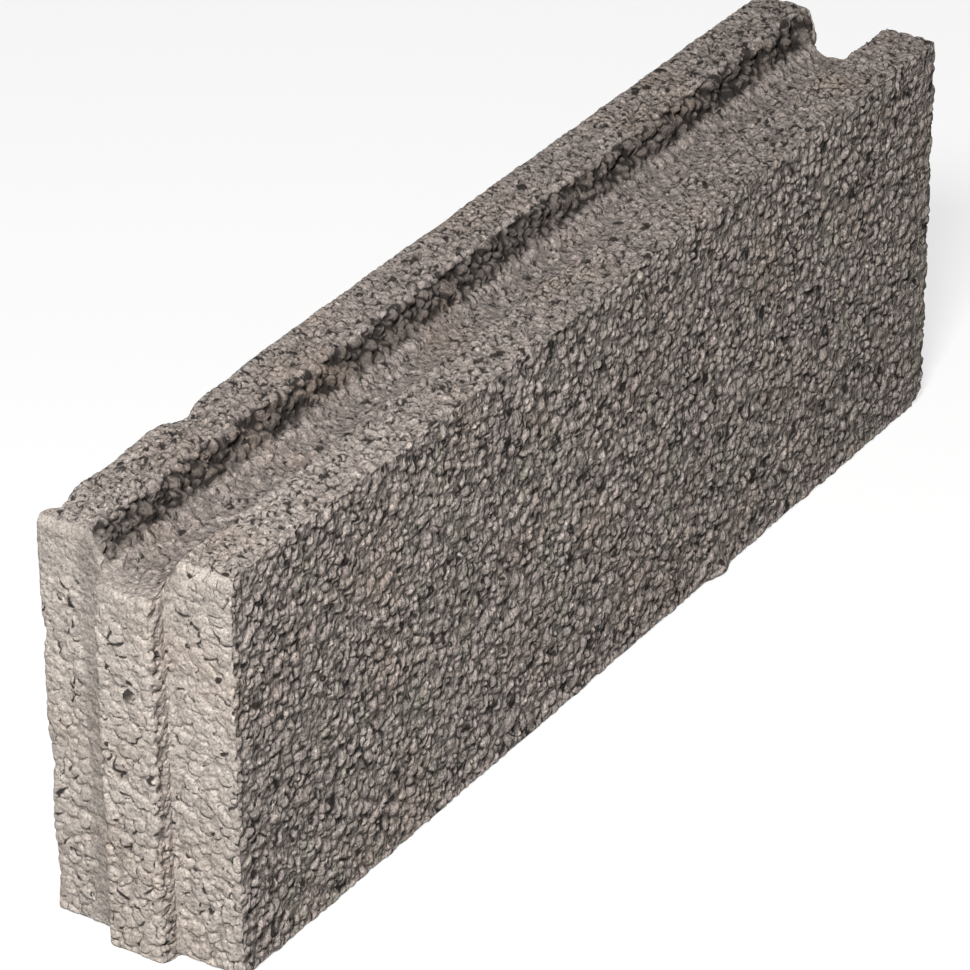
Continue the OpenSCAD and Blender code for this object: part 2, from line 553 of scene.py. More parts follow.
def around(point, normal, kind):
    """The pebbles in the 27 cells round each point, one after the other: how far their centres lie
    along the normal and off it, in the outline's power and with Z squeezed by the stretch, how far
    below the centre the point is, and the pebbles' radii and tones."""
    step, corner, centre, radius, tone = packed(kind)
    cell = np.floor((point - corner) / step).astype(int)
    stretch = np.array([1.0, 1.0, kind.stretch])
    ray = normal / stretch
    ray_length = np.linalg.norm(ray, axis=-1)
    last = np.array(radius.shape) - 1
    for shift in itertools.product((-1, 0, 1), repeat=3):
        i, j, k = np.clip(cell + np.array(shift), 0, last).T
        gap = (centre[i, j, k] - point) / stretch
        along = (gap * ray).sum(-1) / ray_length
        aside = np.abs(gap - along[:, None] * ray / ray_length[:, None])
        off = (aside ** kind.outline).sum(-1) ** (1.0 / kind.outline)
        yield along / ray_length, off, kind.stretch * gap[:, 2], radius[i, j, k], tone[i, j, k]


def pebble_heights(point, normal, kind):
    """Height of the highest pebble along each point's normal, and its tone, and the same of the next
    two. A pebble of radius r whose centre lies along the normal by a and off it by d has a
    height of a plus r less bulge times r times d / r to the profile's power, less its sink, and
    more by its lean below its centre. So pebbles spread until they meet."""
    best = np.full(len(point), -NOTHING)
    best_tone = np.full(len(point), MIDDLE_TONE)
    second, second_tone = best.copy(), best_tone.copy()
    third, third_tone = best.copy(), best_tone.copy()
    for along, off, below, radius, tone in around(point, normal, kind):
        real = radius > 0.0
        size = np.where(real, radius, 1.0)
        rise = along + size * (1.0 - kind.bulge * (off / size) ** kind.power)
        rise = np.where(real, rise - kind.sink + kind.lean * below, -NOTHING)
        third_tone = np.where(rise > second, second_tone, np.where(rise > third, tone, third_tone))
        third = np.maximum(third, np.minimum(second, rise))
        second_tone = np.where(rise > best, best_tone, np.where(rise > second, tone, second_tone))
        second = np.maximum(second, np.minimum(best, rise))
        best_tone = np.where(rise > best, tone, best_tone)
        best = np.maximum(best, rise)
    return best, best_tone, second, second_tone, third, third_tone


def void_depths(point, normal, kind):
    """Lowest height along each point's normal at which it leaves a round void that is open to the
    face: the distance a along the normal to its centre less the root of the squared radius less the
    squared distance off the normal."""
    lowest = np.full(len(point), NOTHING)
    for along, off, _, radius, _ in around(point, normal, kind):
        root = np.sqrt(np.maximum(radius ** 2 - off ** 2, 0.0))
        opened = (off < radius) & (along + root > -OPEN_DEPTH)
        lowest = np.where(opened, np.minimum(lowest, along - root), lowest)
    return np.maximum(lowest, DEEPEST)


def softly(first, second, softness, side):
    """The larger (side 1) or smaller (side -1) of two values, with a rounded change-over:
    softness times the logarithm of the sum of exponentials."""
    first = side * first / softness
    second = side * second / softness
    return side * softness * np.logaddexp(first, second)


# Waves over the block: radians in a metre along X, Y and Z, and the phase
WARP_WAVES = (
    ((0.0, 310.0, 530.0, 0.0), (320.0, 410.0, 0.0, 1.0)),
    ((420.0, 0.0, 530.0, 2.0), (-280.0, 0.0, 590.0, 0.0)),
    ((450.0, -380.0, 0.0, 3.0), (290.0, 370.0, 0.0, 4.0)),
)
SWELL_WAVES = ((71.0, 0.0, 113.0, 0.0), (157.0, -89.0, 0.0, 1.3), (43.0, 97.0, 211.0, 2.1))
NIBBLE_WAVES = ((310.0, 0.0, 610.0, 0.0), (-530.0, 0.0, 1030.0, 1.0), (270.0, 0.0, 270.0, 0.0))
# Height of each kind of wave, and the most that the nibbles' waves count together
WARP = 0.00025
SWELL = 0.00010
NIBBLE = 0.0010
NIBBLE_MOST = 2.5


def waves(point, rows):
    """Sum of sines of the place: each wave's radians along X, Y and Z, and its phase."""
    turns, phases = np.split(np.array(rows), [3], axis=1)
    return np.sin(point @ turns.T + phases.T).sum(-1)


def warped(point):
    """Places shifted by sines of two or three pebbles' length, so that pebbles come out irregular."""
    return point + WARP * np.stack([waves(point, rows) for rows in WARP_WAVES], -1)


def unevenness(point):
    """Slow swell of the faces: a sum of sines of the place, under half a millimetre high."""
    return SWELL * waves(point, SWELL_WAVES)


def nibbled(point):
    """Depth worn off an edge: sines of the place, from 0 to two and a half millimetres."""
    return NIBBLE * np.clip(waves(point, NIBBLE_WAVES), 0.0, NIBBLE_MOST)


# How faces turn: share of X in the normal over which ends begin, share of Z over which the top
# begins, least share of Z in the trough, and most share of Z on the jambs
END_TURN = (0.45, 0.80)
TOP_TURN = (0.30, 0.75)
TROUGH_TURN = 0.02
JAMB_TURN = 0.3
# Jambs begin this far inside the end faces
JAMB_INSET = 0.0005
# How far the trough's pebbles run over its back and front rims, the width over which they change,
# and the distances from the middle over which its floor ends
BACK_RIM = 0.0030
FRONT_RIM = -0.0005
RIM_CHANGE = 0.0035
FLOOR_ENDS = (0.0120, 0.0155)


def zone_shares(point, normal):
    """Share of each kind of ground at a point. Ends face along X; jambs are the side walls of the
    tongue and the groove. The top faces up, and is rib, trough wall or trough floor by its distance
    from the middle. All else is wall."""
    _, _, rim_y, _ = trough_numbers()
    middle = np.abs(point[:, 1])
    end = eased(np.abs(normal[:, 0]), *END_TURN)
    beyond = (point[:, 0] < NEAR_END + JAMB_INSET) | (point[:, 0] > GROOVE_FLOOR - JAMB_INSET)
    jamb = beyond * (middle < shape().tongue_width) * (normal[:, 2] < JAMB_TURN) * (1.0 - end)
    rim = rim_y + np.where(point[:, 1] > 0.0, BACK_RIM, FRONT_RIM)
    in_trough = 1.0 - eased(middle, rim - RIM_CHANGE, rim)
    top = np.maximum(eased(normal[:, 2], *TOP_TURN), in_trough * (normal[:, 2] > TROUGH_TURN))
    top = top * (1.0 - end - jamb)
    on_floor = 1.0 - eased(middle, *FLOOR_ENDS)
    return {
        "end": end,
        "jamb": jamb,
        "rib": top * (1.0 - in_trough),
        "trough": top * in_trough * (1.0 - on_floor),
        "floor": top * in_trough * on_floor,
        "wall": 1.0 - end - jamb - top,
    }


# Smear of the near end, which smooths its relief and darkens its colour as painted shade: distances
# behind the face over which it ends, distances behind the tongue over which the band of painted
# shadow rises and falls, heights over which the crown of painted shade rises, its share on the front
# shoulder, and the places across the block over which it becomes whole
SMEAR_ENDS = (0.0005, 0.004)
BAND_RISES = (0.0, 0.004)
BAND_FALLS = (0.009, 0.017)
CROWN_RISES = (0.165, 0.184)
CROWN_FRONT_SHARE = 0.35
CROWN_WHOLE = (-0.020, -0.008)


def smeared(point):
    """How far the mould smeared the near end smooth and its colour is darkened as painted shade: a band
    behind the tongue, which is the tongue's painted shadow, and the top, least on the front shoulder."""
    on_end = 1.0 - eased(point[:, 0] - NEAR_END, *SMEAR_ENDS)
    behind = point[:, 1] - 0.5 * shape().tongue_width
    band = eased(behind, *BAND_RISES) * (1.0 - eased(behind, *BAND_FALLS))
    whole = eased(point[:, 1], *CROWN_WHOLE)
    crown = eased(point[:, 2], *CROWN_RISES) * (CROWN_FRONT_SHARE + (1.0 - CROWN_FRONT_SHARE) * whole)
    return on_end * band, on_end * crown


# Pale cement skin: its share on the jambs, and on the ribs, the front rib and the trough its share
# at the near end and the distances from that end over which it fades. The front rib's long fade is
# painted light, brighter near the lamp
PALE_JAMB_SHARE = 0.35
PALE_RIB = (0.35, (0.004, 0.060))
PAINTED_LIGHT_FRONT_RIB = (0.35, (0.060, 0.300))
PALE_TROUGH = (0.5, (0.0, 0.011))


def paleness(point, zones):
    """How far a place has the pale cement skin of the ends: all over them, in part on the jambs, and
    fading along the top from the near end, soonest in the trough and latest on the front rib, where
    the long fade is painted light that falls off away from the lamp."""
    rib, front, trough = (
        share * (1.0 - eased(point[:, 0] - NEAR_END, *fade))
        for share, fade in (PALE_RIB, PAINTED_LIGHT_FRONT_RIB, PALE_TROUGH)
    )
    # The front rib's long fade: painted light, brighter near the lamp
    rib = np.maximum(rib, front * (point[:, 1] < 0.0))
    pale = zones["end"] + PALE_JAMB_SHARE * zones["jamb"] + zones["rib"] * rib
    return pale + (zones["trough"] + zones["floor"]) * trough


def lot(tones):
    """A draw from 0 to 1 that is settled by the sum of some pebbles' tones."""
    return np.modf(JOINT_MIX * tones)[0]


def fused(point, normal, ground):
    """Heights of the pebbles and grit together, their tones, and how far each place is a crack or an
    open pore, which sets where shade is painted along them. Where two meet, the sum of their tones
    decides if the joint is a crack, which dips, or is fused, which is filled. Where three meet, it
    decides in the same way if there is an open pore."""
    rise, tone, next_rise, next_tone, third, third_tone = pebble_heights(point, normal, ground.pebbles)
    grit, grit_tone = pebble_heights(point, normal, ground.grit)[:2]
    opened = eased(lot(tone + next_tone + third_tone), *PORE_DRAW)
    pore = opened * np.exp((third - np.maximum(rise, grit)) / ground.pore)
    gritty = grit > rise
    next_tone = np.where(gritty | (grit > next_rise), np.where(gritty, tone, grit_tone), next_tone)
    next_rise = np.where(gritty, rise, np.maximum(grit, next_rise))
    rise = np.maximum(rise, grit)
    tone = np.where(gritty, grit_tone, tone)
    joint = np.exp((next_rise - rise) / JOINT_WIDTH)
    line = np.exp((next_rise - rise) / ground.line)
    draw = lot(tone + next_tone)
    cracked = 1.0 - eased(draw, ground.cracks - JOINT_CHANGE, ground.cracks + JOINT_CHANGE)
    rise = rise + joint * (FUSED_HEIGHT - (FUSED_HEIGHT + CRACK_DEPTH) * cracked) - PORE_DEPTH * pore
    return softly(rise, -ground.paste, CREASE, 1), tone, np.maximum(line * cracked, pore)


# Turns of a normal over which a face counts as flat, and over which the top's edges begin
FLAT_TURN = (0.75, 0.98)
EDGE_TURN = (0.10, 0.40)
# Shares by which the relief is less, with the places over which each comes in: on the top's edges at
# the back and the front, near the back face, on the ends at the bed and more so at the top, at the
# bed, where the trough runs out at the far end, where the end is smeared, and on hidden faces
EDGE_BACK_LESS = 0.55
EDGE_FRONT_LESS = 0.30
BACK_LESS = 0.5
BACK_BEGINS = (0.038, 0.047)
END_LESS = 0.1
END_TOP_LESS = 0.4
BED_LESS = 0.75
BED_ENDS = (0.0005, 0.0045)
RUN_OUT_LESS = 0.5
RUN_OUT_BEGINS = (-0.012, -0.002)
SMEAR_LESS = 0.55
HIDDEN_LESS = 0.6
# Share by which the painted shade of hollows and cracks is less where the end is smeared
SMEAR_CLEAN = 0.5
# Painted shade of the hollows: the share of the cement's depth from which a valley counts, its
# shade, what the trough adds to it, and how far below the cement a pore begins and is whole
VALLEY_SHARE = 0.5
VALLEY_SHADE = 0.35
TROUGH_VALLEY_SHADE = 0.55
PORE_BEGINS = 0.0002
PORE_GROWS = 0.0006
# Distances from the middle over which the trough's painted shade ends, and its share on the floor
TROUGH_SHADE_ENDS = (0.0195, 0.0235)
TROUGH_SHADE_FLOOR_SHARE = 0.25
# Ground with a smaller share than this is left out
LEAST_SHARE = 0.001


def calmed(height, point, normal, zones, smear, hidden):
    """Heights of the skin with less relief: each cause takes its own share off, and the edges of the
    front are nibbled."""
    x, y, z = point.T
    flat = eased(np.abs(normal).max(-1), *FLAT_TURN)
    edge = (1.0 - flat) * (zones["rib"] + zones["wall"]) * eased(normal[:, 2], *EDGE_TURN)
    height = height * (1.0 - edge * np.where(y > 0.0, EDGE_BACK_LESS, EDGE_FRONT_LESS))
    height = height - (1.0 - flat) * (y < 0.0) * (1.0 - zones["jamb"]) * nibbled(point)
    for less in (
        BACK_LESS * eased(y, *BACK_BEGINS),
        zones["end"] * (END_LESS + END_TOP_LESS * z / TOP),
        BED_LESS * (1.0 - eased(z, *BED_ENDS)),
        RUN_OUT_LESS * zones["trough"] * eased(x - FAR_END, *RUN_OUT_BEGINS),
        SMEAR_LESS * smear,
        hidden * zones["trough"],
    ):
        height = height * (1.0 - less)
    return height


def pebbled(point, normal):
    """Carries the points of a rounded form onto the pebbled skin, and gives their attributes:
    each pebble's tone, how hollow and how smeared the place is, and what gives its colour, painted
    shade and painted light included."""
    zones = zone_shares(point, normal)
    height, tone, crack, paste = np.zeros((4, len(point)))
    place = warped(point)
    for kind, ground in grounds().items():
        share = zones[kind]
        used = share > LEAST_SHARE
        rise, own, joint = fused(place[used], normal[used], ground)
        rise = softly(rise, ground.press, ground.softness, -1)
        hole = void_depths(place[used], normal[used], ground.voids)
        height[used] += share[used] * softly(rise, hole, CREASE, -1)
        tone[used] += share[used] * own
        crack[used] += share[used] * joint
        paste[used] += share[used] * ground.paste
    band, crown = smeared(point)
    smear = np.maximum(band, crown)
    front = point[:, 1] < 0.0
    back = point[:, 1] > 0.0
    hidden = HIDDEN_LESS * (zones["trough"] * front + zones["wall"] * back)
    height = calmed(height, point, normal, zones, smear, hidden)
    smooth = (1.0 - SMEAR_CLEAN * smear) * (1.0 - hidden)
    # Painted shade: valleys and pores below the cement are darkened where shade falls in them
    valley = np.clip((-height - VALLEY_SHARE * paste) / ((1.0 - VALLEY_SHARE) * paste), 0.0, 1.0)
    pore = np.clip((-height - paste - PORE_BEGINS) / PORE_GROWS, 0.0, 1.0)
    hollow = np.maximum((VALLEY_SHADE + TROUGH_VALLEY_SHADE * zones["trough"]) * valley, pore) * smooth
    # Painted shade of the trough: its walls and a little of its floor are coloured darker
    inside = 1.0 - eased(np.abs(point[:, 1]), *TROUGH_SHADE_ENDS)
    trough_shade_share = inside * (zones["trough"] + TROUGH_SHADE_FLOOR_SHARE * zones["floor"])
    skin = worn(point + normal * (height + unevenness(point))[:, None])
    skin[:, 2] = np.maximum(skin[:, 2], 0.0)
    # Colour attributes, most of them painted shade; the pale skin holds painted light on the front rib
    attributes = {
        "tone": tone, "hollow": hollow, "crack": crack * smooth, "band": band, "crown": crown,
        "pale": paleness(point, zones), "rib": zones["rib"], "trough": trough_shade_share,
        "wall": zones["wall"],
    }
    return skin, attributes


# Meshes

def cut_normals(point, normal):
    """Normals of the skin along a cut, the same for both pieces that meet there: the cross product
    of the step between the skin just before and just behind the cut and the step along it."""
    reach = np.array([LONG_STEP, 0.0, 0.0])
    across = pebbled(point + reach, normal)[0] - pebbled(point - reach, normal)[0]
    skin, _ = pebbled(point, normal)
    along = np.roll(skin, -1, axis=0) - np.roll(skin, 1, axis=0)
    result = np.cross(across, along)
    result *= np.sign((result * normal).sum(-1, keepdims=True))
    return result / np.linalg.norm(result, axis=-1, keepdims=True)


def skin_piece(name, point, normal, quads, cuts):
    """A piece of the skin: its form broken at the corner and pebbled, with normals that run on
    over the cuts."""
    point, normal = broken(point, normal)
    skin, attributes = pebbled(point, normal)
    piece = mesh_object(name, skin, quads, cuts, attributes, concrete())
    shading = np.empty(skin.size, np.float32)
    piece.data.vertex_normals.foreach_get("vector", shading)
    shading = shading.reshape(-1, 3)
    for cut in cuts:
        shading[cut] = cut_normals(point[cut], normal[cut])
    piece.data.normals_split_custom_set_from_vertices(shading)
    return piece


def mesh_object(name, points, quads, cuts, attributes, material):
    """A smooth mesh object from points, four-sided faces and flat many-sided cuts, that rides on
    the block's body and stands for its node."""
    corners = np.concatenate([quads.ravel(), *cuts])
    totals = np.concatenate([np.full(len(quads), 4), [len(cut) for cut in cuts]]).astype(int)
    starts = np.concatenate([[0], np.cumsum(totals)[:-1]])
    mesh = bpy.data.meshes.new(name)
    mesh.vertices.add(len(points))
    mesh.vertices.foreach_set("co", points.astype(np.float32).ravel())
    mesh.loops.add(len(corners))
    mesh.loops.foreach_set("vertex_index", corners.astype(np.int32))
    mesh.polygons.add(len(starts))
    mesh.polygons.foreach_set("loop_start", starts.astype(np.int32))
    mesh.polygons.foreach_set("use_smooth", totals == 4)
    for label, values in attributes.items():
        layer = mesh.attributes.new(label, "FLOAT", "POINT")
        layer.data.foreach_set("value", values.astype(np.float32))
    mesh.update(calc_edges=True)
    if mesh.validate():
        raise RuntimeError(f"{name} has faces that can't be used")
    mesh.materials.append(material)
    piece = bpy.data.objects.new(name, mesh)
    bpy.context.scene.collection.objects.link(piece)
    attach(piece, BODY)
    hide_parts(NODE)
    return piece


def steps_over(length, step):
    """Whole number of steps over a length."""
    return max(2, round(length / step))


def shares_over(length, step):
    """Share of a length at the start of each step over it."""
    steps = steps_over(length, step)
    return np.arange(steps) / steps


def slice_planes():
    """Places along the block where the slices between the end pieces are cut."""
    return np.linspace(NEAR_END + END_THICKNESS, GROOVE_FLOOR - END_THICKNESS, SLICES + 1)


def section_ring():
    """Points and normals round the block's section: up the front, over the top, down the back and
    along the bed, with the edges rounded."""
    line = top_line()
    front = shares_over(TOP, FRONT_STEP)
    top, _ = line.at(shares_over(line.length_at[-1], TOP_STEP))
    back = shares_over(TOP, BACK_STEP)
    bed = shares_over(2.0 * HALF_WIDTH, BED_STEP)
    y = np.concatenate([
        np.full(len(front), -HALF_WIDTH), top[:, 0],
        np.full(len(back), HALF_WIDTH), HALF_WIDTH * (1.0 - 2.0 * bed),
    ])
    z = np.concatenate([TOP * front, top[:, 1], TOP * (1.0 - back), np.zeros(len(bed))])
    return rounded(np.stack([np.zeros_like(y), y, z], -1), shape().edge_radius)


def slice_arrays(start, stop):
    """Points of one slice: the section's ring carried from one cut to the next. Faces run along
    the block and round the ring, and each cut is one flat face."""
    ring, ring_normal = section_ring()
    stations = np.linspace(start, stop, steps_over(stop - start, LONG_STEP) + 1)
    point = np.repeat(ring[None], len(stations), axis=0)
    point[..., 0] = stations[:, None]
    normal = np.broadcast_to(ring_normal, point.shape)
    number = np.arange(point[..., 0].size).reshape(point.shape[:2])
    round_again = np.roll(number, -1, axis=1)
    quads = np.stack([number[:-1], number[1:], round_again[1:], round_again[:-1]], -1)
    cuts = (number[0], number[-1, ::-1])
    return point.reshape(-1, 3), normal.reshape(-1, 3), quads.reshape(-1, 4), cuts


def end_arrays(line, cut, step):
    """Points of an end piece on the skin of a lattice: steps from the end's plan line to the cut,
    columns across the block, and rows from the bed to the top. At the cut, columns are spread
    along the section's top line."""
    section = top_line()
    columns = steps_over(section.length_at[-1], step)
    rows = steps_over(TOP, step)
    across = np.linspace(0.0, 1.0, columns + 1)
    plan, plan_normal = line.at(across)
    inner = np.stack([np.full(columns + 1, cut), section.at(across)[0][:, 0]], -1)
    share = np.linspace(0.0, 1.0, END_STEPS + 1)
    near_end = cut > plan[0, 0]
    if not near_end:
        share = share[::-1]
        plan_normal = -plan_normal
    place = plan + (inner - plan) * share[:, None, None]
    top, _ = top_at(place[..., 0], place[..., 1])
    up = np.linspace(0.0, 1.0, rows + 1)
    point = np.empty((*place.shape[:2], rows + 1, 3))
    point[..., :2] = place[:, :, None]
    point[..., 2] = top[:, :, None] * up
    from_end = np.linalg.norm(place - plan, axis=-1)[:, :, None]
    end_normal = np.zeros((1, columns + 1, 1, 3))
    end_normal[0, :, 0, :2] = plan_normal
    on_skin, quads, cut_loop = lattice_skin(point.shape[:3], cut_first=not near_end)
    point, normal = rounded(point, shape().edge_radius, [(from_end, end_normal)])
    return point[on_skin], normal[on_skin], quads, (cut_loop,)


def grid_faces(number, flip=False):
    """Four-sided faces over a grid of numbered points, turned over if asked."""
    corners = [number[:-1, :-1], number[1:, :-1], number[1:, 1:], number[:-1, 1:]]
    faces = np.stack(corners, -1).reshape(-1, 4)
    return faces[:, ::-1] if flip else faces


def lattice_skin(size, cut_first):
    """Which points of a lattice lie on its outside, the four-sided faces over five of its sides,
    and the loop round the sixth, which is the cut. Points are numbered in the order of the lattice,
    and faces run anticlockwise seen from outside."""
    steps, columns, rows = np.indices(size)
    on_skin = (columns == 0) | (columns == size[1] - 1) | (rows == 0) | (rows == size[2] - 1)
    on_skin |= steps == (size[0] - 1 if cut_first else 0)
    number = np.cumsum(on_skin.ravel()).reshape(size) - 1
    face, cut = (number[-1], number[0]) if cut_first else (number[0], number[-1])
    quads = np.vstack([
        grid_faces(number[:, :, 0], True), grid_faces(number[:, :, -1]),
        grid_faces(number[:, 0, :]), grid_faces(number[:, -1, :], True),
        grid_faces(face, not cut_first),
    ])
    loop = np.concatenate([cut[:-1, 0], cut[-1, :-1], cut[:0:-1, -1], cut[0, :0:-1]])
    return on_skin, quads, loop[::-1] if cut_first else loop


# Material

class Nodes:
    """A short way to add nodes to a material and to join them."""

    def __init__(self, name):
        self.material = bpy.data.materials.new(name)
        self.material.use_nodes = True
        self.tree = self.material.node_tree
        self.shader = self.tree.nodes["Principled BSDF"]

    def add(self, kind, inputs=None, **settings):
        """A node of a kind with its settings; an input is a value or another node's socket."""
        node = self.tree.nodes.new(kind)
        for key, value in settings.items():
            setattr(node, key, value)
        for key, value in (inputs or {}).items():
            if isinstance(value, bpy.types.NodeSocket):
                self.tree.links.new(value, node.inputs[key])
            else:
                node.inputs[key].default_value = value
        return node

    def attribute(self, name):
        """A value that the mesh carries."""
        return self.add("ShaderNodeAttribute", attribute_name=name).outputs["Fac"]

    def noise(self, place, scale, detail=3.0):
        """A noise from 0 to 1 of features about 1 / scale metres across."""
        node = self.add("ShaderNodeTexNoise", {"Vector": place, "Scale": scale, "Detail": detail})
        return node.outputs["Fac"]

    def granule(self, place, scale):
        """Distance from the middle of the nearest grain, grains being about 1 / scale metres across."""
        node = self.add("ShaderNodeTexVoronoi", {"Vector": place, "Scale": scale})
        return node.outputs["Distance"]

    def ramp(self, value, low, high, to_low=0.0, to_high=1.0):
        """A value moved from one range to another and held inside it."""
        inputs = {
            "Value": value, "From Min": low, "From Max": high, "To Min": to_low, "To Max": to_high
        }
        return self.add("ShaderNodeMapRange", inputs).outputs["Result"]

    def by(self, share, at_none, at_whole):
        """A value that goes from one number to another as a share goes from 0 to 1."""
        return self.ramp(share, 0.0, 1.0, at_none, at_whole)

    def fleck(self, place, kind):
        """A noise of one kind, moved to the values of that kind."""
        noise = self.noise(place, kind.scale, kind.detail)
        return self.ramp(noise, kind.low, kind.high, kind.least, kind.most)

    def mix(self, share, first, second, blend="MIX"):
        """Two colours mixed by a share."""
        inputs = {0: share, 6: first, 7: second}
        return self.add("ShaderNodeMix", inputs, data_type="RGBA", blend_type=blend).outputs[2]

    def product(self, first, second):
        """Two values multiplied."""
        node = self.add("ShaderNodeMath", {0: first, 1: second}, operation="MULTIPLY")
        return node.outputs["Value"]

    def total(self, first, second):
        """Two values added."""
        node = self.add("ShaderNodeMath", {0: first, 1: second}, operation="ADD")
        return node.outputs["Value"]

    def scaled(self, colour, value):
        """A colour times a value."""
        inputs = {"Red": value, "Green": value, "Blue": value}
        grey = self.add("ShaderNodeCombineColor", inputs).outputs[0]
        return self.mix(1.0, colour, grey, "MULTIPLY")

    def join(self, source, key):
        """Joins a socket to one of the shader's inputs."""
        self.tree.links.new(source, self.shader.inputs[key])


# Streaks from the mould are squeezed by this along each axis, so they run up the block
STREAK_SCALE = (1.0, 1.0, 0.22)
# Noise over the concrete: features in a metre, detail, the range of the noise that counts, and the
# values that the two ends of that range become
Fleck = namedtuple("Fleck", "scale detail low high least most")
STAIN = Fleck(24.0, 4.0, 0.50, 0.72, 0.0, 0.26)
STREAK = Fleck(90.0, 3.0, 0.56, 0.74, 0.0, 0.55)
SPECKLE = Fleck(1000.0, 3.0, 0.30, 0.70, 0.63, 1.37)
# Painted highlights: bright specks where light would catch the grains
PAINTED_GLINT = Fleck(430.0, 2.0, 0.60, 0.66, 1.0, 1.50)
# Painted shade: dark specks that stand for pores too fine for the mesh, dark from the shade in them
PIT_SHADE = Fleck(520.0, 2.0, 0.355, 0.395, 1.0, 0.0)
# Painted highlights of the glints on the pale skin, and shifts of the noise of the pits' painted
# shade there and on the ribs
PAINTED_GLINT_PALE = 1.12
PIT_SHADE_PALE = 0.025
PIT_SHADE_RIB = -0.022
# Light of the darkest and the palest pebbles, and the painted shadow of the smeared band and the
# painted shade of the smeared crown
TONE_LIGHT = (0.82, 1.18)
BAND_SHADOW = 0.72
CROWN_SHADE = 0.86
# Painted shade of the pits off and on the ribs, of the hollows and of the cracks, and the range
# over which the cracks' painted shade shows
PIT_SHADE_DARK = (0.45, 0.62)
HOLLOW_SHADE = 0.95
CRACK_SHADE = 0.94
CRACK_SHADE_SHOWS = (0.48, 0.76)
ROUGHNESS = 0.93
SPECULAR = 0.22
# Fine relief: features in a metre of the scratches, the grains and the grit, the grit's detail, how
# far the grains sink to their edges, its depth, and its strength off and on the pale skin
SCRATCHES = 700.0
GRAINS = 300.0
FINE_GRIT = 620.0
FINE_DETAIL = 6.0
GRAIN_SINK = -1.2
BUMP_DEPTH = 0.0013
BUMP_STRENGTH = (0.9, 0.50)


def opaque(colour):
    """A colour with full alpha."""
    return (*colour, 1.0)


def concrete():
    """Pebbled concrete: its colour goes by the kind of face and each pebble's own tone, patches of
    stain lie over many pebbles, shade is painted into the trough, the crevices, cracks and pores and
    onto the smeared band and crown, highlights are painted as glints, light is painted along the front
    rib, and a fine grain speckles and roughens it all."""
    existing = bpy.data.materials.get("pebbled_concrete")
    if existing:
        return existing
    n = Nodes("pebbled_concrete")
    c = colours()
    crevice_shade = opaque(c.crevice_shade)
    place = n.add("ShaderNodeTexCoord").outputs["Object"]
    upright = n.add("ShaderNodeMapping", {"Vector": place, "Scale": STREAK_SCALE}).outputs["Vector"]
    pale = n.attribute("pale")
    wall = n.attribute("wall")
    rib = n.attribute("rib")
    colour = n.mix(rib, opaque(c.taupe), opaque(c.grit))
    # Painted shade in the trough
    colour = n.mix(n.attribute("trough"), colour, opaque(c.trough_shade))
    # Pale cement skin, with painted light along the front rib
    colour = n.mix(pale, colour, opaque(c.pale))
    colour = n.mix(n.fleck(place, STAIN), colour, opaque(c.warm))
    colour = n.mix(n.product(n.fleck(upright, STREAK), wall), colour, opaque(c.green))
    colour = n.scaled(colour, n.by(n.attribute("tone"), *TONE_LIGHT))
    colour = n.scaled(colour, n.fleck(place, SPECKLE))
    # Painted highlights, weaker on the pale skin
    painted_glint = PAINTED_GLINT._replace(most=n.by(pale, PAINTED_GLINT.most, PAINTED_GLINT_PALE))
    colour = n.scaled(colour, n.fleck(place, painted_glint))
    # Painted shade of pores too fine for the mesh
    pit_shade = n.total(n.noise(place, PIT_SHADE.scale, PIT_SHADE.detail), n.by(pale, 0.0, PIT_SHADE_PALE))
    pit_shade = n.total(pit_shade, n.by(rib, 0.0, PIT_SHADE_RIB))
    pit_shade = n.ramp(pit_shade, PIT_SHADE.low, PIT_SHADE.high, PIT_SHADE.least, PIT_SHADE.most)
    colour = n.mix(n.product(pit_shade, n.by(rib, *PIT_SHADE_DARK)), colour, crevice_shade)
    # Painted shadow of the tongue on the band behind it, and painted shade on the crown
    colour = n.scaled(colour, n.by(n.attribute("band"), 1.0, BAND_SHADOW))
    colour = n.scaled(colour, n.by(n.attribute("crown"), 1.0, CROWN_SHADE))
    # Painted shade in the hollows
    colour = n.mix(n.by(n.attribute("hollow"), 0.0, HOLLOW_SHADE), colour, crevice_shade)
    # Painted shade along cracked joints and open pores
    colour = n.mix(n.ramp(n.attribute("crack"), *CRACK_SHADE_SHOWS, 0.0, CRACK_SHADE), colour, crevice_shade)
    n.join(colour, "Base Color")
    n.shader.inputs["Roughness"].default_value = ROUGHNESS
    n.shader.inputs["Specular IOR Level"].default_value = SPECULAR
    scratch = n.product(n.noise(upright, SCRATCHES), wall)
    fine = n.total(n.noise(place, FINE_GRIT, FINE_DETAIL), scratch)
    fine = n.total(fine, n.product(n.granule(place, GRAINS), GRAIN_SINK))
    inputs = {"Strength": n.by(pale, *BUMP_STRENGTH), "Distance": BUMP_DEPTH, "Height": fine}
    n.join(n.add("ShaderNodeBump", inputs).outputs["Normal"], "Normal")
    return n.material


# Pieces

class CONCRETE_OT_slices(bpy.types.Operator):
    """Builds the long part of the block between its two ends"""
    bl_idname = "concrete.slices"
    bl_label = "Long Part"

    def execute(self, context):
        planes = slice_planes()
        for number, (start, stop) in enumerate(zip(planes[:-1], planes[1:]), 1):
            skin_piece(f"slice_{number}", *slice_arrays(start, stop))
        return {"FINISHED"}


